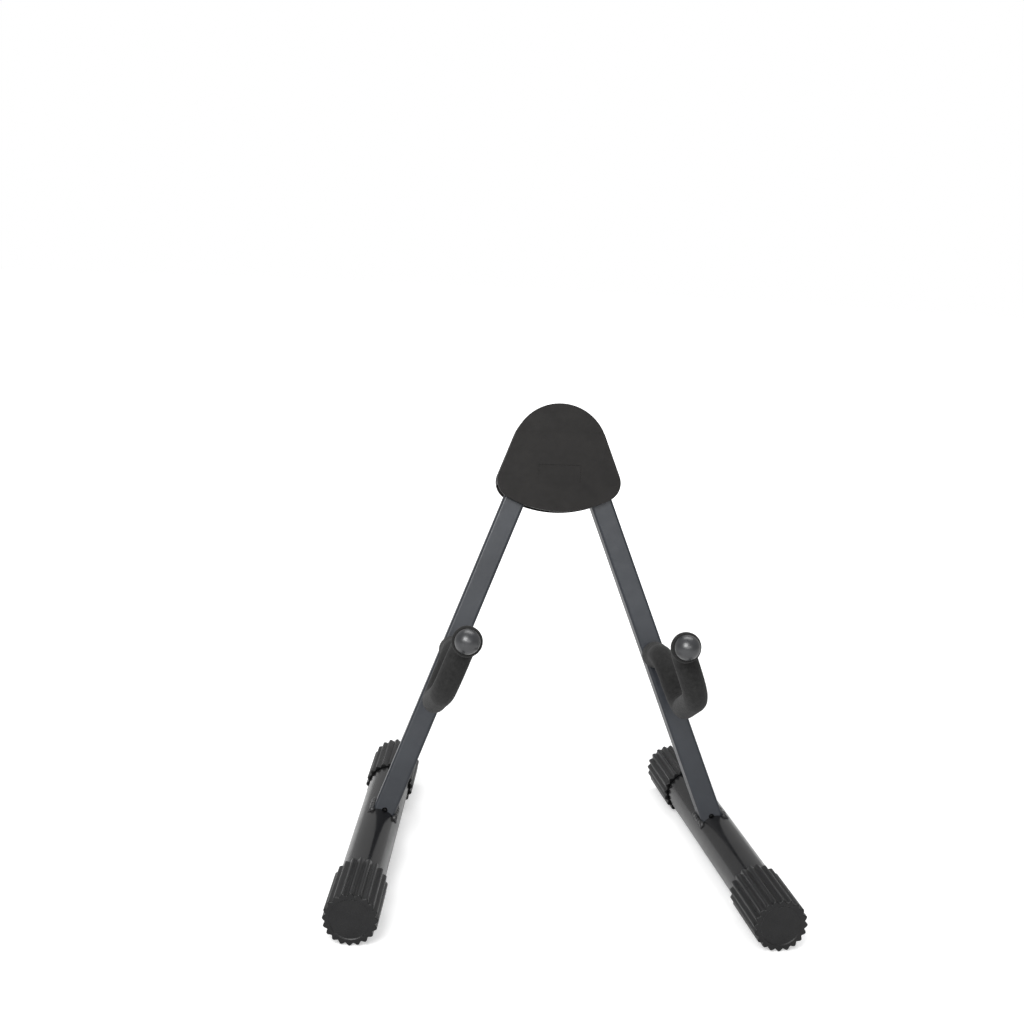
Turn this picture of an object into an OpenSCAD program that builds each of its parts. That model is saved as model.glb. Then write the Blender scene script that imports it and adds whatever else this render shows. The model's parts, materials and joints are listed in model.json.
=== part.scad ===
// Folding A-frame table-top stand for a French horn.
// The stand rests on the floor plane z = 0 with its front towards -Y.
// The origin is the centre of its footprint. All sizes are in millimetres.

/* [Frame] */
// Half of the angle between the open legs
spread = 21; // [17:1:25]
// Backward lean of the plane that holds both legs
tilt = 15; // [8:1:20]
// Length of a leg from its pivot to the axis of its foot tube
leg_reach = 304; // [250:1:370]
// Distance between the two leg pivots
pivot_spacing = 29; // [28:0.5:35]
// Side of the square leg tube
leg_w = 16; // [14:0.5:18]
// Wall of the square leg tube
leg_wall = 1.2; // [1:0.1:2]
// Outer corner radius of the square leg tube
leg_corner_r = 2; // [1.5:0.1:3]
// Length of a leg above its pivot
leg_top = 9; // [7:0.5:10]
// Radius of the vent hole at the foot of each leg
vent_r = 2.1; // [1:0.1:3]

/* [Feet] */
// Outer radius of the round foot tube
foot_r = 15; // [12:0.5:16]
// Wall of the foot tube
foot_wall = 1.2; // [1:0.1:2]
// Leg to the front face of the front cap, along the foot tube
foot_front = 147; // [120:1:180]
// Leg to the rear face of the rear cap, along the foot tube
foot_rear = 132; // [105:1:160]
// Length of a rubber end cap
cap_len = 54; // [35:1:60]
// Thickness of a cap from its bore to the crest of its ribs
cap_wall = 3; // [2.5:0.1:4]
// Thickness of the closed end of a cap
cap_end = 3.5; // [2.5:0.1:5]
// Number of ribs around a cap
cap_ribs = 20; // [12:4:24]
// Depth of the grooves between the ribs
rib_depth = 1.8; // [1:0.1:2]
// Width of the flat crest of a rib
rib_flat = 1; // [0.8:0.1:1.4]

/* [Yoke] */
// Height of a yoke above the foot tube axis, along the leg
yoke_height = 138; // [110:1:160]
// Radius of the yoke rod
rod_r = 4; // [3.5:0.1:4.5]
// Outer radius of the foam sleeve
foam_r = 8.2; // [7:0.1:9]
// Outer radius of the foam's flared end against the leg
foam_flare_r = 9.6; // [9:0.1:10]
// Length over which that flare runs out
foam_flare_len = 16; // [10:1:20]
// Outer radius of the foam's lip around the ball
foam_lip_r = 10; // [9.5:0.1:10.5]
// Forward reach of the back arm, from the leg axis
yoke_reach = 46; // [40:1:60]
// Drop from the back arm to the rear end of the cradle floor
yoke_drop = 39; // [34:1:45]
// Forward reach of the cradle floor, from the back arm to the front arm
cradle_w = 80; // [65:1:90]
// Rise of the cradle floor towards the front
cradle_rise = 14; // [5:1:18]
// Forward lean of the front arm
arm_lean = 12; // [5:1:25]
// Rise of the tip above the back arm
tip_rise = 11; // [5:1:20]
// Straight length of rod at the tip, up to the ball centre
tip_len = 22; // [18:0.5:26]
// Radius of the ball at the tip
ball_r = 8.2; // [7:0.1:9]
// Radius of the threaded end that passes through the leg
stud_r = 3; // [2.5:0.1:3.3]
// Radius of the collar that seats on the leg
collar_r = 6.5; // [5.5:0.1:7]
// Thickness of the collar
collar_t = 1.5; // [1:0.1:2]

/* [Hub] */
// Space between an open leg and the hub's side wall
side_room = 7.7; // [7.2:0.1:12]
// Drop from the pivots to the centre of the rounded top
hub_top_drop = 9; // [7:0.5:11]
// Drop from the pivots to the lowest point of the hub
hub_bottom = 53; // [50:0.5:60]
// Radius of the arched lower edge
hub_bottom_r = 80; // [70:1:100]
// Radius of the lower corners
hub_corner_r = 14; // [10:0.5:16]
// Thickness of a cover's face
hub_face = 4; // [3.6:0.1:5]
// Thickness of a cover's side wall
hub_wall = 2.5; // [2:0.1:3]
// Space between a leg and a cover's face
hub_gap = 1; // [0.8:0.1:1.5]
// Height above the pivots of the step across the front face
step_up = 4.5; // [3:0.5:8]
// Depth of the step
step_t = 0.8; // [0.4:0.1:1.2]
// Width of the bare label recess in the front face
label_w = 31; // [20:1:40]
// Height of the label recess
label_h = 14; // [8:1:18]
// Drop from the pivots to the middle of the label recess
label_drop = 26; // [20:1:30]
// Depth of the label recess
label_t = 0.5; // [0.3:0.1:0.8]

/* [Fasteners] */
// Radius of the pivot bolts
bolt_r = 2.5; // [2:0.1:2.8]
// Radius of the bolt heads
bolt_head_r = 4.8; // [4.5:0.1:5.5]
// Height of the bolt heads
bolt_head_h = 2.6; // [2:0.1:3]
// Outer radius of the sleeve on which a leg turns
sleeve_r = 4; // [3.8:0.1:4.3]
// Outer radius of the friction washers
washer_r = 7.4; // [6.5:0.1:7.9]
// Across-flats size of the thin nuts sunk in the front cover
pivot_nut_af = 8; // [7.5:0.1:8.5]
// Height of the thin nuts
pivot_nut_h = 2.7; // [2:0.1:3]
// Across-flats size of the domed nuts on the yokes
nut_af = 10; // [9:0.1:11]
// Radius of the cover screws
screw_r = 1.45; // [1.3:0.05:1.6]
// Radius of the cover screw heads
screw_head_r = 2.8; // [2.5:0.1:3]
// Radius of the screw bosses
boss_r = 3.4; // [3.2:0.1:3.4]

/* [Clearances] */
// Radial running clearance of a leg on its sleeve
run_clear = 0.05; // [0.02:0.01:0.08]
// Clearance between parts of one assembly
fit_clear = 0.1; // [0.05:0.01:0.15]
// Clearance between a leg and its stops
stop_clear = 0.25; // [0.2:0.05:0.4]
// Clearance between the foam and what it meets
foam_clear = 0.3; // [0.2:0.05:0.4]

/* [Hidden] */

LEFT = -1;
RIGHT = 1;
FRONT = -1;
REAR = 1;
eps = 0.01;
over = 1;
$fn = 64;

leg_half = leg_w / 2;
inner_w = leg_w - 2 * leg_wall;
cap_r = foot_r + cap_wall;
pivot_v = leg_reach * cos(spread);
foot_x = pivot_spacing / 2 + leg_reach * sin(spread);
// Angle between the foot tube and the leg's cross-section, for a level foot tube
foot_pitch = atan(tan(tilt) / cos(spread));
// Outward turn of the foot tube as seen from above
foot_splay = asin(sin(foot_pitch) * sin(spread));
// Puts the centre of the footprint on the origin
frame_y = (foot_front - foot_rear) * cos(foot_splay) / 2;

// Height of the saddle's edge in the middle of the leg's front face
vent_z = foot_r / cos(foot_pitch) - leg_half * tan(foot_pitch);

// Half-width of a rib where it runs into the cap's body, and the rounding of its crest
rib_root = 2.4;
rib_crest_r = 0.9;
// Rim around the shallow dish in a cap's closed face, and the chamfer around that face
face_rim = 4;
dish_r = cap_r - face_rim;
dish_t = 0.6;
cap_edge = 0.9;

hub_in = leg_half + hub_gap;
hub_out = hub_in + hub_face;
washer_t = hub_gap - fit_clear;
head_recess = 1.2;
pivot_nut_r = pivot_nut_af / 2 / cos(30);
pocket_h = over + pivot_nut_h + fit_clear;
nut_r = nut_af / 2 / cos(30);
nut_chamfer = 0.5;
label_corner_r = 1.5;
// Radius of the dome on a bolt head, which leaves a short rim under it
bolt_dome_r = (pow(bolt_head_r, 2) + pow(bolt_head_h, 2)) / (2 * bolt_head_h) + 1;
// Direction out of the hub's right side, and down along it
side_out = [cos(spread), sin(spread)];
side_down = [sin(spread), -cos(spread)];
// Offset of the hub's side face from the leg axis, and the radius of the hub's rounded top
hub_side = leg_half + side_room + hub_wall;
hub_top_r = hub_side + [pivot_spacing / 2, hub_top_drop] * side_out;
hub_top_c = [0, -hub_top_drop];
hub_arc_c = [0, hub_bottom_r - hub_bottom];
// The corner circle touches the side from inside and the arched lower edge from inside
corner_row = hub_top_c + (hub_top_r - hub_corner_r) * side_out;
corner_off = corner_row - hub_arc_c;
corner_along = -corner_off * side_down
    + sqrt(pow(corner_off * side_down, 2) + pow(hub_bottom_r - hub_corner_r, 2) - corner_off * corner_off);
hub_corner_c = corner_row + corner_along * side_down;
hub_arc_dir = (hub_corner_c - hub_arc_c) / norm(hub_corner_c - hub_arc_c);
hub_apex = [0, hub_arc_c[1] - hub_bottom_r / -hub_arc_dir[1]];
// Stops and bosses that stand beside an open leg
stop_rows = [8, 32];
stop_t = 2.5;
side_boss_drop = 19;
side_boss_off = leg_half + side_room / 2;
side_boss_x = pivot_spacing / 2 + side_boss_drop * sin(spread) + side_boss_off * cos(spread);
side_boss_z = -side_boss_drop * cos(spread) + side_boss_off * sin(spread);
spine_half = pivot_spacing / 2 - leg_half - stop_clear;
// Drop of the spine's top below the pivots, and its end above the hub's lowest point
spine_drop = 14;
spine_gap = 5;
spine_top = -spine_drop;
spine_bottom = spine_gap - hub_bottom;
// Space between the top screw boss and the wall above it
top_boss_gap = 3;
top_boss_z = hub_top_r - hub_top_drop - hub_wall - boss_r - top_boss_gap;
boss_places = [
    [0, top_boss_z], [0, (spine_top + spine_bottom) / 2],
    [-side_boss_x, side_boss_z], [side_boss_x, side_boss_z]
];
screw_head_h = 1.8;
screw_recess = 2;
screw_bite = 7;
cross_w = 0.8;
cross_len = 3.4;
cross_depth = 1.2;

// Corners of the yoke rod's path: forward from the leg axis, and up from the yoke hole
arm_base = yoke_reach + cradle_w;
arm_base_up = cradle_rise - yoke_drop;
arm_top = arm_base + (tip_rise - arm_base_up) * tan(arm_lean);
ball_y = arm_top + tip_len;
bend_r = [16, 14, 22, 13];
// Depth behind the ball's centre at which the foam's lip ends, and the thickness of the lip
foam_end = ball_y - 3;
foam_lip_t = 3;
// Wall of the foam that is left inside a flare, and how far a flare's thin end sinks into it
foam_skin = 1.5;
sink = 0.3;
// Length by which a bend runs into the straight bar beside it
lap = 0.4;
// Difference in radius between a bend and the straight bar beside it
slim = 0.04;
washer_plate_t = 1.2;
yoke_nut_h = 5;
stud_tail = 1.5;

function unit(v) = v / norm(v);
function yoke_path(start, end) = [
    [start, 0], [yoke_reach, 0], [yoke_reach, -yoke_drop], [arm_base, arm_base_up],
    [arm_top, tip_rise], [end, tip_rise]
];
// Turn of a path at its corner i, and the length that its bend takes from each side
function turn(path, i) = acos(unit(path[i] - path[i - 1]) * unit(path[i + 1] - path[i]));
function trim(path, i) = i == 0 || i == len(path) - 1 ? 0 : bend_r[i - 1] * tan(turn(path, i) / 2);
function heading(v) = atan2(v[1], v[0]);

// Puts local Z up the plane of the legs, with the origin between the foot tube axes
module leg_plane() {
    translate([0, frame_y, cap_r])
        rotate([-tilt, 0, 0])
            children();
}

// Puts the origin between the leg pivots
module hub_frame() {
    leg_plane()
        translate([0, 0, pivot_v])
            children();
}

// Puts the origin on a leg's pivot, with local Z along the leg
module leg_frame(side) {
    hub_frame()
        translate([side * pivot_spacing / 2, 0, 0])
            rotate([0, -side * spread, 0])
                children();
}

// Puts the origin on a foot tube's axis under its leg, with local Y along the tube
module foot_frame(side) {
    translate([side * foot_x, frame_y, cap_r])
        rotate([0, 0, side * foot_splay])
            children();
}

// Puts the path plane of a yoke upright, with local X forward from the leg axis
module yoke_frame(side) {
    leg_frame(side)
        translate([0, 0, yoke_height - leg_reach])
            rotate([90, 0, -90])
                children();
}

// A cylinder along Y from y0 to y1
module y_rod(r, y0, y1) {
    translate([0, y1, 0])
        rotate([90, 0, 0])
            cylinder(r = r, h = y1 - y0);
}

// Extrudes an outline in X and Z from y0 to y1
module slab(y0, y1) {
    translate([0, y1, 0])
        rotate([90, 0, 0])
            linear_extrude(y1 - y0)
                children();
}

// A w by h rectangle with corners of radius r
module rounded_plate(w, h, r) {
    square([w, h - 2 * r], center = true);
    square([w - 2 * r, h], center = true);
    for (x = [-1, 1], y = [-1, 1])
        translate([x * (w / 2 - r), y * (h / 2 - r)])
            circle(r = r, $fn = 32);
}

// A round bar, or with a bore a tube, that follows a path of straight runs joined by bends.
// The bends are a hair thinner than the runs and lap into them, so that all join as one solid.
module bent_bar(path, r, bore = 0) {
    last = len(path) - 1;
    for (i = [0 : last - 1]) {
        run = path[i + 1] - path[i];
        length = norm(run) - trim(path, i) - trim(path, i + 1);
        translate(path[i] + unit(run) * trim(path, i))
            rotate([0, 0, heading(run)])
                rotate([0, 90, 0])
                    difference() {
                        cylinder(r = r, h = length);
                        if (bore > 0)
                            translate([0, 0, -over])
                                cylinder(r = bore, h = length + 2 * over);
                    }
    }
    for (i = [1 : last - 1]) {
        back = unit(path[i - 1] - path[i]);
        ahead = unit(path[i + 1] - path[i]);
        half_turn = turn(path, i) / 2;
        centre = path[i] + unit(back + ahead) * bend_r[i - 1] / cos(half_turn);
        half_sweep = half_turn + lap / bend_r[i - 1] * 180 / PI;
        translate(centre)
            rotate([0, 0, heading(path[i] - centre) - half_sweep])
                rotate_extrude(angle = 2 * half_sweep)
                    translate([bend_r[i - 1], 0])
                        difference() {
                            circle(r = r - slim);
                            if (bore > 0)
                                circle(r = bore + slim);
                        }
    }
}

// ---- Hub ----

// The fan-shaped outline of the covers
module fan() {
    intersection() {
        translate(hub_arc_c)
            circle(r = hub_bottom_r, $fn = 128);
        union() {
            translate(hub_top_c)
                circle(r = hub_top_r, $fn = 96);
            for (s = [LEFT, RIGHT])
                translate([s * hub_corner_c[0], hub_corner_c[1]])
                    circle(r = hub_corner_r);
            right = [
                hub_top_c + hub_top_r * side_out,
                hub_corner_c + hub_corner_r * side_out,
                hub_arc_c + hub_bottom_r * hub_arc_dir
            ];
            polygon(concat(
                right,
                [hub_apex],
                [for (i = [2 : -1 : 0]) [-right[i][0], right[i][1]]]
            ));
        }
    }
}

// The space between the side walls, open at the bottom for the legs
module fan_cavity() {
    inner_r = hub_top_r - hub_wall;
    translate(hub_top_c)
        circle(r = inner_r, $fn = 96);
    top = hub_top_c + inner_r * side_out;
    foot = top + 2 * hub_bottom * side_down;
    polygon([top, foot, [-foot[0], foot[1]], [-top[0], top[1]]]);
}

// Moves its child to each of the four screw places
module at_bosses() {
    for (p = boss_places)
        translate([p[0], 0, p[1]])
            children();
}

// Moves its child to each leg pivot
module at_pivots() {
    for (s = [LEFT, RIGHT])
        translate([s * pivot_spacing / 2, 0, 0])
            children();
}

// Walls, stops and bosses of the cover on the +Y side
module cover_shell() {
    slab(hub_in, hub_out)
        fan();
    slab(0, hub_in + eps)
        difference() {
            fan();
            fan_cavity();
        }
    at_bosses()
        y_rod(boss_r, 0, hub_in + eps);
    // Spine between the folded legs
    translate([-spine_half, 0, spine_bottom])
        cube([2 * spine_half, hub_in + eps, spine_top - spine_bottom]);
    // Stops for the open legs
    stop_in = leg_half + stop_clear;
    for (s = [LEFT, RIGHT], drop = stop_rows)
        translate([s * pivot_spacing / 2, 0, 0])
            rotate([0, -s * spread, 0])
                translate([s > 0 ? stop_in : eps - hub_side + hub_wall / 2, 0, -drop - stop_t / 2])
                    cube([hub_side - hub_wall / 2 - stop_in, hub_in + eps, stop_t]);
}

module hub_front_cover() {
    color([0.14, 0.13, 0.12])
        hub_frame()
            difference() {
                mirror([0, 1, 0])
                    cover_shell();
                // Step across the face
                translate([-hub_top_r - over, -hub_out - over, step_up])
                    cube([2 * (hub_top_r + over), over + step_t, hub_top_r]);
                // Bare recess for a label
                translate([0, 0, -label_drop])
                    slab(-hub_out - over, label_t - hub_out)
                        rounded_plate(label_w, label_h, label_corner_r);
                // Pockets for the thin nuts
                at_pivots()
                    translate([0, over - hub_in, 0])
                        rotate([90, 0, 0])
                            cylinder(r = pivot_nut_r + fit_clear, h = pocket_h, $fn = 6);
                at_bosses()
                    y_rod(screw_r + fit_clear / 2, -screw_bite - fit_clear, over);
            }
}

module hub_rear_cover() {
    color([0.14, 0.13, 0.12])
        hub_frame()
            difference() {
                cover_shell();
                at_pivots() {
                    y_rod(bolt_r + fit_clear, 0, hub_out + over);
                    y_rod(bolt_head_r + fit_clear, hub_out - head_recess, hub_out + over);
                }
                at_bosses() {
                    y_rod(screw_r + fit_clear, -over, hub_out + over);
                    y_rod(screw_head_r + fit_clear, hub_out - screw_recess, hub_out + over);
                }
            }
}

// A hexagonal nut with its top corners chamfered
module hex_nut(corner_r, h, bore_r) {
    difference() {
        intersection() {
            cylinder(r = corner_r, h = h, $fn = 6);
            cylinder(r1 = corner_r - nut_chamfer + h, r2 = corner_r - nut_chamfer, h = h);
        }
        translate([0, 0, -over])
            cylinder(r = bore_r, h = h + 2 * over);
    }
}

// Low-headed bolts that enter from the rear
module pivot_bolts() {
    seat = hub_out - head_recess;
    color([0.2, 0.2, 0.21])
        hub_frame()
            at_pivots() {
                y_rod(bolt_r, -hub_in - pivot_nut_h, seat + eps);
                intersection() {
                    y_rod(bolt_head_r, seat, seat + bolt_head_h);
                    translate([0, seat + bolt_head_h - bolt_dome_r, 0])
                        sphere(r = bolt_dome_r);
                }
            }
}

module pivot_nuts() {
    color([0.2, 0.2, 0.21])
        hub_frame()
            at_pivots()
                translate([0, -hub_in, 0])
                    rotate([90, 0, 0])
                        hex_nut(pivot_nut_r, pivot_nut_h, bolt_r + fit_clear / 2);
}

module pivot_sleeves() {
    color([0.75, 0.76, 0.78])
        hub_frame()
            at_pivots()
                difference() {
                    y_rod(sleeve_r, -hub_in, hub_in);
                    y_rod(bolt_r + fit_clear, -hub_in - over, hub_in + over);
                }
}

module friction_washers() {
    color([0.9, 0.9, 0.86])
        hub_frame()
            at_pivots()
                for (face = [FRONT, REAR])
                    translate([0, face * (leg_half + hub_gap / 2), 0])
                        difference() {
                            y_rod(washer_r, -washer_t / 2, washer_t / 2);
                            y_rod(sleeve_r + fit_clear, -hub_gap, hub_gap);
                        }
}

module cover_screws() {
    seat = hub_out - screw_recess;
    color([0.2, 0.2, 0.21])
        hub_frame()
            at_bosses()
                difference() {
                    union() {
                        y_rod(screw_r, -screw_bite, seat + eps);
                        y_rod(screw_head_r, seat, seat + screw_head_h);
                    }
                    // Cross recess
                    for (turned = [0, 90])
                        rotate([0, turned, 0])
                            translate([-cross_w / 2, seat + screw_head_h - cross_depth, -cross_len / 2])
                                cube([cross_w, screw_head_h, cross_len]);
                }
}

// ---- Legs and feet ----

module leg(side) {
    color([0.1, 0.1, 0.11])
        difference() {
            leg_frame(side)
                difference() {
                    translate([0, 0, -leg_reach])
                        linear_extrude(leg_reach + leg_top)
                            difference() {
                                rounded_plate(leg_w, leg_w, leg_corner_r);
                                rounded_plate(inner_w, inner_w, leg_corner_r - leg_wall);
                            }
                    y_rod(sleeve_r + run_clear, -leg_w, leg_w);
                    translate([0, 0, yoke_height - leg_reach])
                        y_rod(stud_r + fit_clear, -leg_w, leg_w);
                    // Vent hole on the edge of the saddle
                    translate([0, 0, vent_z - leg_reach])
                        y_rod(vent_r, -leg_w, 0);
                }
            // Saddle that seats the leg on the foot tube
            foot_frame(side)
                y_rod(foot_r + fit_clear / 2, -foot_front, foot_rear);
        }
}

module foot_tube(side) {
    y0 = cap_end + fit_clear - foot_front;
    y1 = foot_rear - cap_end - fit_clear;
    color([0.05, 0.05, 0.055])
        difference() {
            foot_frame(side)
                difference() {
                    y_rod(foot_r, y0, y1);
                    y_rod(foot_r - foot_wall, y0 - over, y1 + over);
                }
            // Vent hole under the leg
            leg_frame(side)
                translate([0, -leg_half + leg_wall / 2, -leg_reach + foot_r / 2])
                    cylinder(r = vent_r, h = foot_r);
        }
}

// Outline of a ribbed cap with one crest pointing straight down
module ribbed_outline() {
    root_r = cap_r - rib_depth;
    circle(r = root_r);
    for (i = [0 : cap_ribs - 1])
        rotate(-90 + i * 360 / cap_ribs) {
            for (s = [-1, 1])
                translate([cap_r - rib_crest_r, s * rib_flat / 2])
                    circle(r = rib_crest_r, $fn = 24);
            polygon([
                [root_r - over, -rib_root], [cap_r - rib_crest_r, -rib_flat / 2 - rib_crest_r],
                [cap_r - rib_crest_r, -rib_flat / 2], [cap_r, -rib_flat / 2],
                [cap_r, rib_flat / 2], [cap_r - rib_crest_r, rib_flat / 2],
                [cap_r - rib_crest_r, rib_flat / 2 + rib_crest_r], [root_r - over, rib_root]
            ]);
        }
}

// A cap on the -Y end of a tube, with its closed face at y = 0
module cap() {
    bore_r = foot_r + fit_clear / 2;
    difference() {
        intersection() {
            slab(0, cap_len)
                ribbed_outline();
            rotate([-90, 0, 0]) {
                cylinder(r1 = cap_r - cap_edge, r2 = cap_r, h = cap_edge);
                translate([0, 0, cap_edge])
                    cylinder(r = cap_r + over, h = cap_len - cap_edge);
            }
        }
        y_rod(bore_r, cap_end, cap_len + over);
        // Shallow dish in the closed face
        rotate([-90, 0, 0])
            translate([0, 0, -eps])
                cylinder(r1 = dish_r, r2 = dish_r - dish_t, h = dish_t);
    }
}

module front_cap(side) {
    color([0.07, 0.07, 0.07])
        foot_frame(side)
            translate([0, -foot_front, 0])
                cap();
}

module rear_cap(side) {
    color([0.07, 0.07, 0.07])
        foot_frame(side)
            translate([0, foot_rear, 0])
                mirror([0, 1, 0])
                    cap();
}

// ---- Yokes ----

module yoke_rod(side) {
    tail = leg_half + washer_plate_t + yoke_nut_h - stud_tail;
    color([0.1, 0.1, 0.11])
        yoke_frame(side) {
            bent_bar(yoke_path(leg_half + collar_t - eps, ball_y), rod_r);
            rotate([0, 90, 0]) {
                translate([0, 0, leg_half + fit_clear / 2])
                    cylinder(r = collar_r, h = collar_t - fit_clear / 2);
                translate([0, 0, -tail])
                    cylinder(r = stud_r, h = tail + leg_half + collar_t);
            }
        }
}

// A ring along X from x0 to x1 that tapers on the outside
module x_ring(x0, x1, r0, r1, bore_r) {
    translate([x0, 0, 0])
        rotate([0, 90, 0])
            difference() {
                cylinder(r1 = r0, r2 = r1, h = x1 - x0);
                translate([0, 0, -over])
                    cylinder(r = bore_r, h = x1 - x0 + 2 * over);
            }
}

// Foam sleeve on the rod, with a flared end over the collar and a lip around the ball
module yoke_foam(side) {
    start = leg_half + foam_clear;
    collar_end = leg_half + collar_t + foam_clear;
    ring_bore = foam_r - foam_skin;
    color([0.06, 0.06, 0.06])
        yoke_frame(side)
            difference() {
                union() {
                    bent_bar(yoke_path(collar_end, foam_end), foam_r, rod_r + fit_clear);
                    x_ring(start, collar_end + eps, foam_r, foam_r, collar_r + foam_clear);
                    x_ring(start, start + foam_flare_len, foam_flare_r, foam_r - sink, ring_bore);
                    translate([foam_end, tip_rise, 0]) {
                        x_ring(-foam_lip_t, 0, foam_lip_r, foam_lip_r, ring_bore);
                        x_ring(-2 * foam_lip_t, eps - foam_lip_t, foam_r - sink, foam_lip_r, ring_bore);
                    }
                }
                translate([ball_y, tip_rise, 0])
                    sphere(r = ball_r + foam_clear);
            }
}

module yoke_tip(side) {
    color([0.08, 0.08, 0.085])
        yoke_frame(side)
            translate([ball_y, tip_rise, 0])
                difference() {
                    sphere(r = ball_r);
                    translate([-ball_r - over, 0, 0])
                        rotate([0, 90, 0])
                            cylinder(r = rod_r + fit_clear / 2, h = ball_r + over + fit_clear);
                }
}

module yoke_washer(side) {
    color([0.2, 0.2, 0.21])
        yoke_frame(side)
            rotate([0, -90, 0])
                translate([0, 0, leg_half])
                    difference() {
                        cylinder(r = collar_r, h = washer_plate_t);
                        translate([0, 0, -over])
                            cylinder(r = stud_r + fit_clear, h = washer_plate_t + 2 * over);
                    }
}

// Domed nut that closes over the end of the stud
module yoke_nut(side) {
    dome_r = nut_af / 2 - nut_chamfer;
    color([0.2, 0.2, 0.21])
        yoke_frame(side)
            rotate([0, -90, 0])
                translate([0, 0, leg_half + washer_plate_t])
                    difference() {
                        union() {
                            hex_nut(nut_r, yoke_nut_h, stud_r / 2);
                            intersection() {
                                translate([0, 0, yoke_nut_h])
                                    sphere(r = dome_r);
                                cylinder(r = dome_r, h = yoke_nut_h + dome_r);
                            }
                        }
                        translate([0, 0, -over])
                            cylinder(r = stud_r + fit_clear / 2, h = over + yoke_nut_h);
                    }
}

hub_front_cover();
hub_rear_cover();
pivot_bolts();
pivot_nuts();
pivot_sleeves();
friction_washers();
cover_screws();
leg(LEFT);  // leg_left
leg(RIGHT);  // leg_right
foot_tube(LEFT);  // foot_tube_left
foot_tube(RIGHT);  // foot_tube_right
front_cap(LEFT);  // front_cap_left
front_cap(RIGHT);  // front_cap_right
rear_cap(LEFT);  // rear_cap_left
rear_cap(RIGHT);  // rear_cap_right
yoke_rod(LEFT);  // yoke_rod_left
yoke_rod(RIGHT);  // yoke_rod_right
yoke_foam(LEFT);  // yoke_foam_left
yoke_foam(RIGHT);  // yoke_foam_right
yoke_tip(LEFT);  // yoke_tip_left
yoke_tip(RIGHT);  // yoke_tip_right
yoke_washer(LEFT);  // yoke_washer_left
yoke_washer(RIGHT);  // yoke_washer_right
yoke_nut(LEFT);  // yoke_nut_left
yoke_nut(RIGHT);  // yoke_nut_right
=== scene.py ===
import json
import math
import random

import bmesh
import bpy
from mathutils import Matrix, Vector, noise


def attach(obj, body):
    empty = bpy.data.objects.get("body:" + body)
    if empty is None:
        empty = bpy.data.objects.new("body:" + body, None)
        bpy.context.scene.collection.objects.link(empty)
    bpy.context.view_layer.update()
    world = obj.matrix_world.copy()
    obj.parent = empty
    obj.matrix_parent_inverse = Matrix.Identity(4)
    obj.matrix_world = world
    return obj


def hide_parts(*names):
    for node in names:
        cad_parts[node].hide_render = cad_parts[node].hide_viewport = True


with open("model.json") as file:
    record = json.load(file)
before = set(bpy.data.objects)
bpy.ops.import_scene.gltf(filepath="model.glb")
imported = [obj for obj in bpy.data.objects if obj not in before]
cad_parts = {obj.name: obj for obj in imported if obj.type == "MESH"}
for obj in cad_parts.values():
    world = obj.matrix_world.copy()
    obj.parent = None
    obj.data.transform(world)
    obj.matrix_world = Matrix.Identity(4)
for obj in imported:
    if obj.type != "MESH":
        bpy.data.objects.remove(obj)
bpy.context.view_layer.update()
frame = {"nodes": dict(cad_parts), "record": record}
NODES = frame["nodes"]

# ---- Sizes that repeat the construction ----

SIDES = {"left": -1, "right": 1}
TILT = math.radians(15)
SPREAD = math.radians(21)
LEG_REACH = 0.304
PIVOT_SPACING = 0.029
LEG_HALF = 0.008
LEG_CORNER_R = 0.002
FOOT_R = 0.015
FOOT_FRONT = 0.147
FOOT_REAR = 0.132

CAP_R = 0.018
CAP_LEN = 0.054
CAP_END = 0.0035
CAP_RIBS = 20
RIB_DEPTH = 0.0018
DISH_R = 0.014
DISH_DEPTH = 0.0006

YOKE_HEIGHT = 0.138
YOKE_REACH = 0.046
YOKE_DROP = 0.039
CRADLE_W = 0.080
CRADLE_RISE = 0.014
ARM_LEAN = math.radians(12)
TIP_RISE = 0.011
TIP_LEN = 0.022
YOKE_BENDS = (0.016, 0.014, 0.022, 0.013)
BALL_R = 0.0082
FOAM_R = 0.0082
FOAM_FLARE_R = 0.0096
FOAM_LIP_R = 0.010
FOAM_BORE = 0.0041
FOAM_GAP = 0.0003
SEAT_GAP = 0.0001
FOAM_EDGE = 0.0012
LIP_EDGE = 0.0022
LIP_BEHIND_BALL = 0.003

FOOT_PITCH = math.atan(math.tan(TILT) / math.cos(SPREAD))
FOOT_SPLAY = math.asin(math.sin(FOOT_PITCH) * math.sin(SPREAD))
FOOT_X = PIVOT_SPACING / 2 + LEG_REACH * math.sin(SPREAD)
FRAME_Y = (FOOT_FRONT - FOOT_REAR) * math.cos(FOOT_SPLAY) / 2


# ---- Frames of the construction ----

def turned(angle, axis):
    return Matrix.Rotation(angle, 4, axis)


def hub_frame():
    """Origin between the pivots, local Z up the plane of the legs, local -Y out of the front."""
    up = Matrix.Translation((0, 0, LEG_REACH * math.cos(SPREAD)))
    return Matrix.Translation((0, FRAME_Y, CAP_R)) @ turned(-TILT, "X") @ up


def leg_frame(side):
    """Origin on the leg's pivot, local Z along the leg."""
    across = Matrix.Translation((side * PIVOT_SPACING / 2, 0, 0))
    return hub_frame() @ across @ turned(-side * SPREAD, "Y")


def foot_frame(side):
    """Origin on the foot tube's axis under the leg, local Y along the tube."""
    return Matrix.Translation((side * FOOT_X, FRAME_Y, CAP_R)) @ turned(side * FOOT_SPLAY, "Z")


def yoke_frame(side):
    """Origin on the leg's axis at the yoke, local X forward, local Y up along the leg."""
    up = Matrix.Translation((0, 0, YOKE_HEIGHT - LEG_REACH))
    return leg_frame(side) @ up @ turned(-math.pi / 2, "Z") @ turned(math.pi / 2, "X")


# ---- Mesh helpers ----

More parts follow.
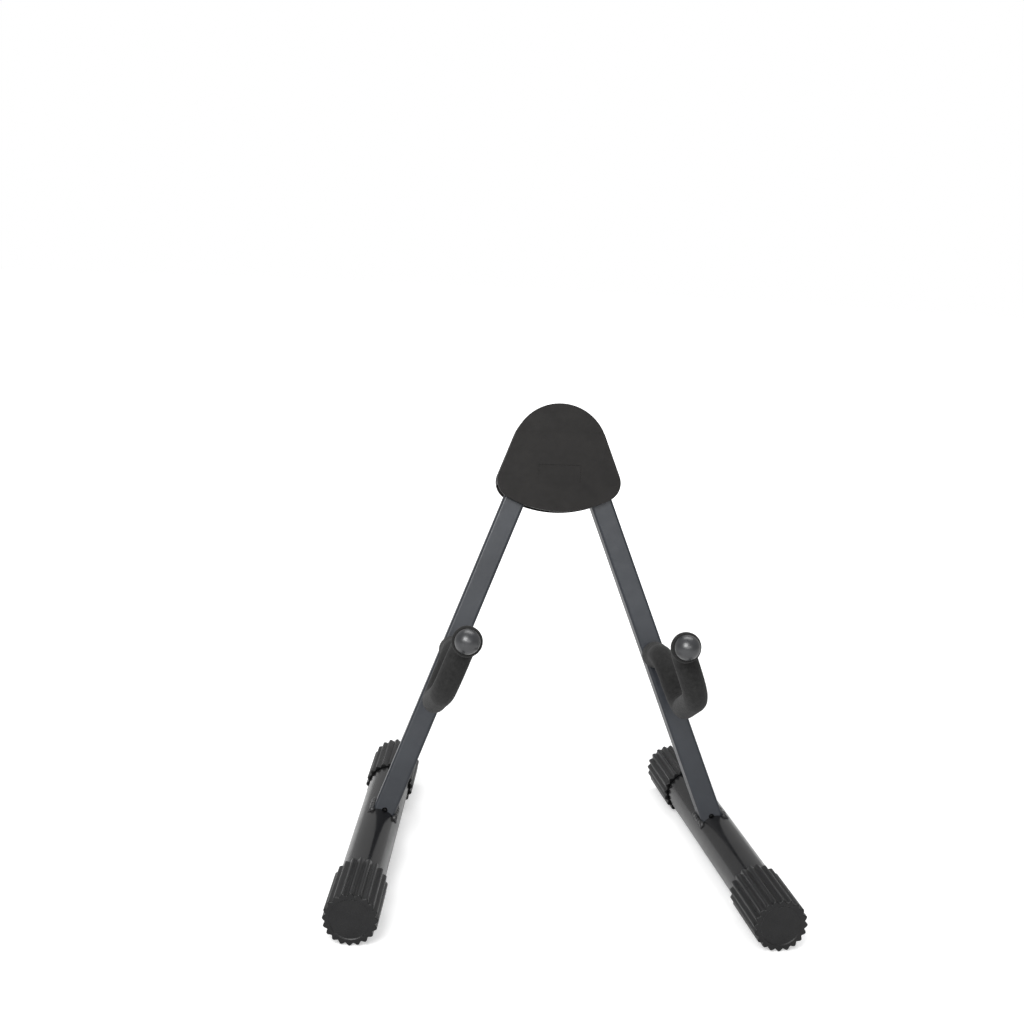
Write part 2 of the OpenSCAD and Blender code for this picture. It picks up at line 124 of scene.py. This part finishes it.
def add_object(name, mesh, matrix, body):
    obj = bpy.data.objects.new(name, mesh)
    bpy.context.scene.collection.objects.link(obj)
    obj.matrix_world = matrix
    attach(obj, body)
    return obj


def ring_mesh(name, rings, loop=False):
    """A smooth surface through rings of points; a ring of one point closes an end."""
    bm = bmesh.new()
    rows = [[bm.verts.new(p) for p in ring] for ring in rings]
    pairs = list(zip(rows, rows[1:] + rows[:1])) if loop else list(zip(rows, rows[1:]))
    for a, b in pairs:
        n = max(len(a), len(b))
        for i in range(n):
            j = (i + 1) % n
            corners = [a[i % len(a)], a[j % len(a)], b[j % len(b)], b[i % len(b)]]
            corners = list(dict.fromkeys(corners))
            face = bm.faces.new(corners)
            face.smooth = True
    bmesh.ops.recalc_face_normals(bm, faces=bm.faces)
    mesh = bpy.data.meshes.new(name)
    bm.to_mesh(mesh)
    bm.free()
    return mesh


def smoothstep(x):
    x = min(1.0, max(0.0, x))
    return x * x * (3 - 2 * x)


# ---- Foam sleeves ----

def signed_turn(a, b):
    return math.atan2(a.x * b.y - a.y * b.x, a.dot(b))


def yoke_route():
    """The yoke's centreline as (start, heading, length, curvature) pieces, from the leg's axis to the ball."""
    arm_base = Vector((YOKE_REACH + CRADLE_W, CRADLE_RISE - YOKE_DROP))
    arm_top = arm_base.x + (TIP_RISE - arm_base.y) * math.tan(ARM_LEAN)
    corners = [
        Vector((0, 0)), Vector((YOKE_REACH, 0)), Vector((YOKE_REACH, -YOKE_DROP)), arm_base,
        Vector((arm_top, TIP_RISE)), Vector((arm_top + TIP_LEN, TIP_RISE)),
    ]
    runs = [b - a for a, b in zip(corners, corners[1:])]
    turns = [signed_turn(a, b) for a, b in zip(runs, runs[1:])]
    trims = [0] + [r * math.tan(abs(t) / 2) for r, t in zip(YOKE_BENDS, turns)] + [0]
    pieces = []
    for i, run in enumerate(runs):
        heading = math.atan2(run.y, run.x)
        start = corners[i] + run.normalized() * trims[i]
        pieces.append((start, heading, run.length - trims[i] - trims[i + 1], 0.0))
        if i < len(turns):
            end = corners[i + 1] - run.normalized() * trims[i + 1]
            curvature = math.copysign(1 / YOKE_BENDS[i], turns[i])
            pieces.append((end, heading, YOKE_BENDS[i] * abs(turns[i]), curvature))
    return pieces


def route_point(pieces, s):
    """Point, heading and curvature at distance s along the route."""
    for start, heading, length, curvature in pieces[:-1]:
        if s <= length:
            break
        s -= length
    else:
        start, heading, length, curvature = pieces[-1]
    if curvature == 0:
        return start + s * Vector((math.cos(heading), math.sin(heading))), heading, curvature
    turned_by = s * curvature
    radius = 1 / curvature
    side = Vector((-math.sin(heading), math.cos(heading)))
    ahead = Vector((math.cos(heading), math.sin(heading)))
    point = start + ahead * radius * math.sin(turned_by) + side * radius * (1 - math.cos(turned_by))
    return point, heading + turned_by, curvature


def foam_profile(length):
    """(distance along the route, radius) around the sleeve's closed section, outside first."""
    start = LEG_HALF + FOAM_GAP
    lip = length - LIP_BEHIND_BALL
    steps = 6
    points = [(start + 0.0002, FOAM_BORE + 0.0028)]
    for i in range(steps, -1, -1):
        a = math.pi / 2 * i / steps
        points.append((start + FOAM_EDGE * (1 - math.sin(a)), FOAM_FLARE_R - FOAM_EDGE * (1 - math.cos(a))))
    s = start + 2 * FOAM_EDGE
    flare = 0.017
    lip_len = 0.0062
    while s < lip - lip_len:
        grow = 1 - smoothstep((s - start) / flare)
        points.append((s, FOAM_R + (FOAM_FLARE_R - FOAM_R) * grow))
        s += 0.001
    for i in range(9):
        t = i / 8
        points.append((lip - lip_len + (lip_len - LIP_EDGE) * t, FOAM_R + (FOAM_LIP_R - FOAM_R) * smoothstep(t)))
    for i in range(1, steps + 1):
        a = math.pi / 2 * i / steps
        points.append((lip - LIP_EDGE * (1 - math.sin(a)), FOAM_LIP_R - LIP_EDGE * (1 - math.cos(a))))
    # Seat around the ball, then back along the bore
    seat_r = BALL_R + SEAT_GAP
    widest = math.asin(min(1, math.sqrt(seat_r ** 2 - LIP_BEHIND_BALL ** 2) / seat_r))
    narrowest = math.asin(FOAM_BORE / seat_r)
    for i in range(9):
        a = widest + (narrowest - widest) * i / 8
        points.append((length - seat_r * math.cos(a), seat_r * math.sin(a)))
    s = length - seat_r * math.cos(narrowest) - 0.001
    while s > start + 0.002:
        points.append((s, FOAM_BORE))
        s -= 0.002
    points.append((start + 0.0018, FOAM_BORE + 0.0028))
    return points


def foam_sleeve(side_name):
    side = SIDES[side_name]
    pieces = yoke_route()
    length = sum(p[2] for p in pieces)
    around = 64
    rings = []
    for s, radius in foam_profile(length):
        centre, heading, curvature = route_point(pieces, s)
        left = Vector((-math.sin(heading), math.cos(heading)))
        ring = []
        for k in range(around):
            a = 2 * math.pi * k / around
            r = radius
            if radius > FOAM_R - 0.0003:
                spot = Vector((s * 60, math.cos(a) * 1.1 + side, math.sin(a) * 1.1))
                r += 0.00016 * noise.noise(spot) + 0.00007 * noise.noise(spot * 4.7)
                # Shallow creases on the inside of the bends
                inner = max(0.0, math.cos(a) * math.copysign(1, curvature)) if curvature else 0.0
                r -= 0.00022 * inner ** 3 * (0.5 + 0.5 * math.cos(s * 2 * math.pi / 0.0042))
            p = centre + left * r * math.cos(a)
            ring.append((p.x, p.y, r * math.sin(a)))
        rings.append(ring)
    mesh = ring_mesh(f"foam_sleeve_{side_name}", rings, loop=True)
    obj = add_object(mesh.name, mesh, yoke_frame(side), f"{side_name}_leg")
    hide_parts(f"yoke_foam_{side_name}")
    return obj


# ---- Ribbed caps ----

def rib_radius(angle, inset=0.0):
    """Radius of the ribbed outline; one crest points straight down."""
    pitch = 2 * math.pi / CAP_RIBS
    off = abs((angle + math.pi / 2 + pitch / 2) % pitch - pitch / 2) / (pitch / 2)
    crest = (0.5 + 0.5 * math.cos(math.pi * off)) ** 0.8
    return CAP_R - RIB_DEPTH * (1 - crest) - inset


def cap_mesh():
    """A cap along +Y with its closed face at y = 0."""
    around = CAP_RIBS * 12
    bore = FOOT_R + 0.00006
    edge = 0.0009
    rim = 0.0005
    steps = 5

    def ring(y, radius_of):
        points = []
        for k in range(around):
            a = 2 * math.pi * k / around
            r = radius_of(a)
            points.append((r * math.cos(a), y, r * math.sin(a)))
        return points

    def blend_to(radius, share):
        return lambda a: radius + (rib_radius(a, edge) - radius) * share

    rings = [[(0, DISH_DEPTH, 0)]]
    for r in (0.004, 0.009, DISH_R - 0.0016, DISH_R - 0.0011):
        rings.append(ring(DISH_DEPTH, lambda a, r=r: r))
    for i in range(1, 6):
        t = i / 5
        rings.append(ring(DISH_DEPTH * (1 - smoothstep(t)), lambda a, t=t: DISH_R - 0.0011 * (1 - t)))
    for share in (0.15, 0.4, 0.75, 0.9):
        rings.append(ring(0, blend_to(DISH_R + 0.0002, share)))
    for i in range(steps + 1):
        a0 = math.pi / 2 * i / steps
        inset = edge * (1 - math.sin(a0))
        rings.append(ring(edge * (1 - math.cos(a0)), lambda a, inset=inset: rib_radius(a, inset)))
    for t in (0.1, 0.3, 0.5, 0.7, 0.9):
        rings.append(ring(CAP_LEN * t, rib_radius))
    for i in range(steps + 1):
        a0 = math.pi / 2 * i / steps
        inset = rim * (1 - math.cos(a0))
        rings.append(ring(CAP_LEN - rim * (1 - math.sin(a0)), lambda a, inset=inset: rib_radius(a, inset)))
    rings.append(ring(CAP_LEN, lambda a: bore + 0.0005))
    rings.append(ring(CAP_LEN - 0.0002, lambda a: bore + 0.0002))
    rings.append(ring(CAP_LEN - 0.0006, lambda a: bore))
    for t in (0.75, 0.5, 0.25):
        rings.append(ring(CAP_LEN * t, lambda a: bore))
    rings.append(ring(CAP_END, lambda a: bore))
    rings.append([(0, CAP_END, 0)])
    return ring_mesh("ribbed_cap", rings)


def ribbed_caps():
    mesh = cap_mesh()
    caps = []
    for side_name, side in SIDES.items():
        front = foot_frame(side) @ Matrix.Translation((0, -FOOT_FRONT, 0))
        rear = foot_frame(side) @ Matrix.Translation((0, FOOT_REAR, 0)) @ turned(math.pi, "Z")
        for end, place in (("front", front), ("rear", rear)):
            obj = add_object(f"ribbed_cap_{end}_{side_name}", mesh, place, f"{side_name}_leg")
            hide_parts(f"{end}_cap_{side_name}")
            caps.append(obj)
    return caps


# ---- Weld beads ----

def saddle_z(side, x, y):
    """Height in the leg's frame at which the line through (x, y) along the leg meets the foot tube."""
    to_foot = foot_frame(side).inverted() @ leg_frame(side)
    p = to_foot @ Vector((x, y, 0))
    d = (to_foot.to_3x3() @ Vector((0, 0, 1))).normalized()
    a = d.x ** 2 + d.z ** 2
    b = 2 * (p.x * d.x + p.z * d.z)
    c = p.x ** 2 + p.z ** 2 - FOOT_R ** 2
    return (-b + math.sqrt(b * b - 4 * a * c)) / (2 * a)


def weld_bead(side_name):
    """A lumpy bead down both sides of the leg and round its rear, where it stands on the foot tube."""
    side = SIDES[side_name]
    rng = random.Random(7 + side)
    half = LEG_HALF + 0.0003
    path = []
    steps = 15
    for i in range(steps):
        path.append((half, -half + 2 * half * i / steps))
    for i in range(steps):
        path.append((half - 2 * half * i / steps, half))
    for i in range(steps + 1):
        path.append((-half, half - 2 * half * i / steps))
    bm = bmesh.new()
    for i, (x, y) in enumerate(path):
        r = 0.0019 + rng.uniform(-0.0003, 0.0005)
        out = Vector((x, y, 0)).normalized() * 0.0005
        z = saddle_z(side, x, y) + 0.0002 + rng.uniform(-0.0003, 0.0003)
        place = Matrix.Translation((x + out.x, y + out.y, z))
        squash = Matrix.Diagonal((1, 1, 1.15, 1))
        bmesh.ops.create_icosphere(bm, subdivisions=2, radius=r, matrix=place @ squash)
    # Toes that run out past the front corners
    for x in (-half, half):
        for reach, r in ((0.0006, 0.0019), (0.0015, 0.0013), (0.0023, 0.0008)):
            px = x + math.copysign(reach, x)
            py = -half - reach * 0.45
            z = saddle_z(side, px, py) + 0.0001
            bmesh.ops.create_icosphere(bm, subdivisions=2, radius=r, matrix=Matrix.Translation((px, py, z)))
    mesh = bpy.data.meshes.new(f"weld_bead_{side_name}")
    bm.to_mesh(mesh)
    bm.free()
    obj = add_object(mesh.name, mesh, leg_frame(side), f"{side_name}_leg")
    remesh = obj.modifiers.new("one skin", "REMESH")
    remesh.mode = "VOXEL"
    remesh.voxel_size = 0.0003
    remesh.use_smooth_shade = True
    smooth = obj.modifiers.new("run together", "SMOOTH")
    smooth.factor = 0.6
    smooth.iterations = 3
    return obj


# ---- Materials ----

class Finish:
    """A Principled material whose colour, roughness and bump come from 3-D textures in the object's own space."""

    def __init__(self, name, **sockets):
        self.mat = bpy.data.materials.new(name)
        self.mat.use_nodes = True
        self.tree = self.mat.node_tree
        self.bsdf = self.tree.nodes["Principled BSDF"]
        self.coord = self.tree.nodes.new("ShaderNodeTexCoord")
        self.normal = None
        for socket, value in sockets.items():
            self.bsdf.inputs[socket.replace("_", " ")].default_value = value

    def node(self, kind, **values):
        made = self.tree.nodes.new(kind)
        for key, value in values.items():
            if key in made.inputs:
                made.inputs[key].default_value = value
            else:
                setattr(made, key, value)
        return made

    def link(self, a, b):
        self.tree.links.new(a, b)

    def noise(self, scale, detail=3.0, rough=0.55, stretch=(1, 1, 1)):
        """Noise with `scale` cells a metre; stretch scales it apart along the object's axes."""
        mapping = self.node("ShaderNodeMapping", Scale=stretch)
        self.link(self.coord.outputs["Object"], mapping.inputs["Vector"])
        made = self.node("ShaderNodeTexNoise", Scale=scale, Detail=detail, Roughness=rough)
        self.link(mapping.outputs["Vector"], made.inputs["Vector"])
        return made.outputs["Fac"]

    def cells(self, scale):
        made = self.node("ShaderNodeTexVoronoi", Scale=scale)
        self.link(self.coord.outputs["Object"], made.inputs["Vector"])
        return made.outputs["Distance"]

    def spread(self, fac, low, high, start=0.3, end=0.7):
        made = self.node("ShaderNodeMapRange")
        made.inputs["From Min"].default_value = start
        made.inputs["From Max"].default_value = end
        made.inputs["To Min"].default_value = low
        made.inputs["To Max"].default_value = high
        self.link(fac, made.inputs["Value"])
        return made.outputs["Result"]

    def colours(self, fac, dark, light):
        ramp = self.node("ShaderNodeValToRGB")
        ramp.color_ramp.elements[0].position = 0.3
        ramp.color_ramp.elements[0].color = (*dark, 1)
        ramp.color_ramp.elements[1].position = 0.7
        ramp.color_ramp.elements[1].color = (*light, 1)
        self.link(fac, ramp.inputs["Fac"])
        self.link(ramp.outputs["Color"], self.bsdf.inputs["Base Color"])

    def roughness(self, fac, low, high):
        self.link(self.spread(fac, low, high), self.bsdf.inputs["Roughness"])

    def bump(self, fac, depth, strength=1.0):
        """Raises the surface by up to depth metres; bumps add up."""
        made = self.node("ShaderNodeBump", Strength=strength, Distance=depth)
        self.link(fac, made.inputs["Height"])
        if self.normal is not None:
            self.link(self.normal, made.inputs["Normal"])
        self.normal = made.outputs["Normal"]
        self.link(self.normal, self.bsdf.inputs["Normal"])


def leg_paint():
    m = Finish("satin_powder_coat", Specular_IOR_Level=0.5)
    m.colours(m.noise(35), (0.016, 0.019, 0.025), (0.023, 0.027, 0.034))
    m.roughness(m.noise(120, detail=4), 0.30, 0.40)
    m.bump(m.noise(1500, detail=2), 0.00003)
    m.bump(m.noise(260, detail=2), 0.00004)
    return m.mat


def weld_paint():
    m = Finish("painted_weld", Specular_IOR_Level=0.5)
    m.colours(m.noise(200), (0.016, 0.016, 0.017), (0.034, 0.034, 0.035))
    m.roughness(m.noise(500, detail=4), 0.24, 0.42)
    m.bump(m.noise(900, detail=4), 0.00012)
    return m.mat


def foot_paint():
    m = Finish("gloss_black_paint", Specular_IOR_Level=0.5)
    m.colours(m.noise(40), (0.006, 0.006, 0.0065), (0.010, 0.010, 0.0105))
    m.roughness(m.noise(160, detail=4), 0.16, 0.24)
    m.bump(m.noise(420, detail=2), 0.00002)
    return m.mat


def cap_rubber():
    m = Finish("moulded_rubber", Specular_IOR_Level=0.36)
    m.colours(m.noise(90, stretch=(1, 0.2, 1)), (0.0040, 0.0040, 0.0045), (0.0085, 0.0085, 0.0090))
    m.roughness(m.noise(300, detail=4, stretch=(1, 0.12, 1)), 0.24, 0.40)
    m.bump(m.noise(1400, detail=3, stretch=(1, 0.04, 1)), 0.00016)
    m.bump(m.noise(2600, detail=2), 0.00003)
    return m.mat


def foam():
    m = Finish("closed_cell_foam", Specular_IOR_Level=0.22, Sheen_Weight=0.06, Sheen_Roughness=0.6)
    m.colours(m.noise(420, detail=5, rough=0.7), (0.0085, 0.0085, 0.0085), (0.0190, 0.0190, 0.0187))
    m.roughness(m.noise(300), 0.78, 0.95)
    m.bump(m.cells(1900), 0.00009, 0.8)
    m.bump(m.noise(700, detail=5, rough=0.65), 0.00016, 0.8)
    return m.mat


def hub_plastic():
    m = Finish("textured_plastic", Specular_IOR_Level=0.22)
    m.colours(m.noise(70), (0.0070, 0.0062, 0.0057), (0.0105, 0.0094, 0.0087))
    m.roughness(m.noise(240, detail=4), 0.42, 0.54)
    m.bump(m.noise(2400, detail=3), 0.00005)
    return m.mat


def tip_plastic():
    m = Finish("gloss_plastic", Specular_IOR_Level=1.0)
    m.colours(m.noise(150), (0.012, 0.013, 0.015), (0.017, 0.018, 0.021))
    m.roughness(m.noise(350, detail=4), 0.30, 0.38)
    m.bump(m.noise(1300, detail=3), 0.00002)
    return m.mat


def black_steel():
    m = Finish("black_zinc", Metallic=0.75)
    m.colours(m.noise(500, detail=4), (0.030, 0.030, 0.031), (0.060, 0.059, 0.058))
    m.roughness(m.noise(900, detail=3), 0.30, 0.45)
    m.bump(m.noise(1800, detail=3), 0.00003)
    return m.mat


def bright_steel():
    m = Finish("turned_steel", Metallic=1.0)
    m.colours(m.noise(600, detail=4), (0.48, 0.49, 0.50), (0.62, 0.62, 0.63))
    m.roughness(m.noise(1500, stretch=(1, 0.1, 1)), 0.22, 0.36)
    m.bump(m.noise(2200, stretch=(0.1, 1, 0.1)), 0.00002)
    return m.mat


def washer_plastic():
    m = Finish("natural_nylon", Subsurface_Weight=0.1, Subsurface_Scale=0.001)
    m.colours(m.noise(300), (0.66, 0.64, 0.58), (0.76, 0.74, 0.69))
    m.roughness(m.noise(700), 0.42, 0.55)
    m.bump(m.noise(1600), 0.00002)
    return m.mat


MATERIALS = {
    "hub_plastic": hub_plastic(),
    "leg_paint": leg_paint(),
    "foot_paint": foot_paint(),
    "cap_rubber": cap_rubber(),
    "foam": foam(),
    "tip_plastic": tip_plastic(),
    "black_steel": black_steel(),
    "bright_steel": bright_steel(),
    "washer_plastic": washer_plastic(),
}


def paint(obj, material):
    obj.data.materials.clear()
    obj.data.materials.append(material)


def finish_cad_nodes():
    """Gives each carried-over node the material of its slot in the record."""
    for part in frame["record"]["subparts"]:
        paint(NODES[part["node"]], MATERIALS[part["material_slot"]])


# ---- Stage ----

def seen_directly(tree):
    """1 for rays from the camera and for transmitted ones, else 0."""
    path = tree.nodes.new("ShaderNodeLightPath")
    either = tree.nodes.new("ShaderNodeMath")
    either.operation = "MAXIMUM"
    tree.links.new(path.outputs["Is Camera Ray"], either.inputs[0])
    tree.links.new(path.outputs["Is Transmission Ray"], either.inputs[1])
    return either.outputs[0]


def make_world():
    world = bpy.data.worlds.new("studio")
    bpy.context.scene.world = world
    world.use_nodes = True
    tree = world.node_tree
    light = tree.nodes["Background"]
    light.inputs["Color"].default_value = (1, 1, 1, 1)
    light.inputs["Strength"].default_value = 0.45
    white = tree.nodes.new("ShaderNodeBackground")
    white.inputs["Color"].default_value = (1, 1, 1, 1)
    white.inputs["Strength"].default_value = 1.0
    mix = tree.nodes.new("ShaderNodeMixShader")
    tree.links.new(seen_directly(tree), mix.inputs[0])
    tree.links.new(light.outputs[0], mix.inputs[1])
    tree.links.new(white.outputs[0], mix.inputs[2])
    tree.links.new(mix.outputs[0], tree.nodes["World Output"].inputs["Surface"])


def make_floor():
    bm = bmesh.new()
    bmesh.ops.create_circle(bm, cap_ends=True, segments=96, radius=6)
    mesh = bpy.data.meshes.new("floor")
    bm.to_mesh(mesh)
    bm.free()
    floor = bpy.data.objects.new("floor", mesh)
    bpy.context.scene.collection.objects.link(floor)
    floor.location.z = -0.0001
    mat = bpy.data.materials.new("pale_floor")
    mat.use_nodes = True
    tree = mat.node_tree
    tree.nodes.remove(tree.nodes["Principled BSDF"])
    diffuse = tree.nodes.new("ShaderNodeBsdfDiffuse")
    diffuse.inputs["Color"].default_value = (0.8, 0.8, 0.8, 1)
    glow = tree.nodes.new("ShaderNodeEmission")
    glow.inputs["Color"].default_value = (1, 1, 1, 1)
    tree.links.new(product(tree, seen_directly(tree), floor_glow(tree)), glow.inputs["Strength"])
    both = tree.nodes.new("ShaderNodeAddShader")
    tree.links.new(diffuse.outputs[0], both.inputs[0])
    tree.links.new(glow.outputs[0], both.inputs[1])
    tree.links.new(both.outputs[0], tree.nodes["Material Output"].inputs["Surface"])
    mesh.materials.append(mat)


def floor_glow(tree):
    """Lifts the floor a little under the stand, where shadows fall, and to white far away."""
    coord = tree.nodes.new("ShaderNodeTexCoord")
    distance = tree.nodes.new("ShaderNodeVectorMath")
    distance.operation = "LENGTH"
    tree.links.new(coord.outputs["Object"], distance.inputs[0])
    grow = tree.nodes.new("ShaderNodeMapRange")
    grow.inputs["From Min"].default_value = 0.35
    grow.inputs["From Max"].default_value = 1.2
    grow.inputs["To Min"].default_value = 0.42
    grow.inputs["To Max"].default_value = 1.0
    tree.links.new(distance.outputs["Value"], grow.inputs["Value"])
    return grow.outputs["Result"]


def product(tree, a, b):
    made = tree.nodes.new("ShaderNodeMath")
    made.operation = "MULTIPLY"
    tree.links.new(a, made.inputs[0])
    tree.links.new(b, made.inputs[1])
    return made.outputs[0]


def add_softbox(name, place, aim, size, power):
    light = bpy.data.lights.new(name, "AREA")
    light.shape = "RECTANGLE"
    light.size, light.size_y = size
    light.energy = power
    obj = bpy.data.objects.new(name, light)
    bpy.context.scene.collection.objects.link(obj)
    obj.location = place
    obj.rotation_mode = "QUATERNION"
    obj.rotation_quaternion = (Vector(aim) - Vector(place)).to_track_quat("-Z", "Y")


def make_camera():
    """The camera stands in front, a little to the left and above, and looks slightly down."""
    place = Vector((-0.1173, -1.0549, 0.479))
    yaw, pitch, roll = 0.074, 0.210, 0.049
    ahead = Vector((math.sin(yaw) * math.cos(pitch), math.cos(yaw) * math.cos(pitch), -math.sin(pitch)))
    level = Vector((math.cos(yaw), -math.sin(yaw), 0))
    up = level.cross(ahead)
    right = math.cos(roll) * level + math.sin(roll) * up
    top = -math.sin(roll) * level + math.cos(roll) * up
    data = bpy.data.cameras.new("camera")
    data.lens = 55.18
    data.sensor_width = 36
    data.shift_x = 0.0016
    data.shift_y = 0.001
    camera = bpy.data.objects.new("camera", data)
    bpy.context.scene.collection.objects.link(camera)
    turn = Matrix((right, top, -ahead)).transposed().to_4x4()
    camera.matrix_world = Matrix.Translation(place) @ turn
    bpy.context.scene.camera = camera


# ---- Assembly ----

make_camera()
make_world()
make_floor()
add_softbox("key", (-0.8, -1.5, 1.45), (0, 0, 0.15), (1.1, 1.1), 36)
add_softbox("front", (0.3, -2.6, 1.15), (0, 0, 0.15), (1.8, 0.9), 12)
add_softbox("top", (0.2, 0.7, 1.9), (0, 0, 0.1), (1.6, 1.0), 14)
bpy.context.scene.view_settings.view_transform = "Standard"

finish_cad_nodes()
for side_name in SIDES:
    paint(foam_sleeve(side_name), MATERIALS["foam"])
WELD_PAINT = weld_paint()
for cap in ribbed_caps():
    paint(cap, MATERIALS["cap_rubber"])
for side_name in SIDES:
    paint(weld_bead(side_name), WELD_PAINT)
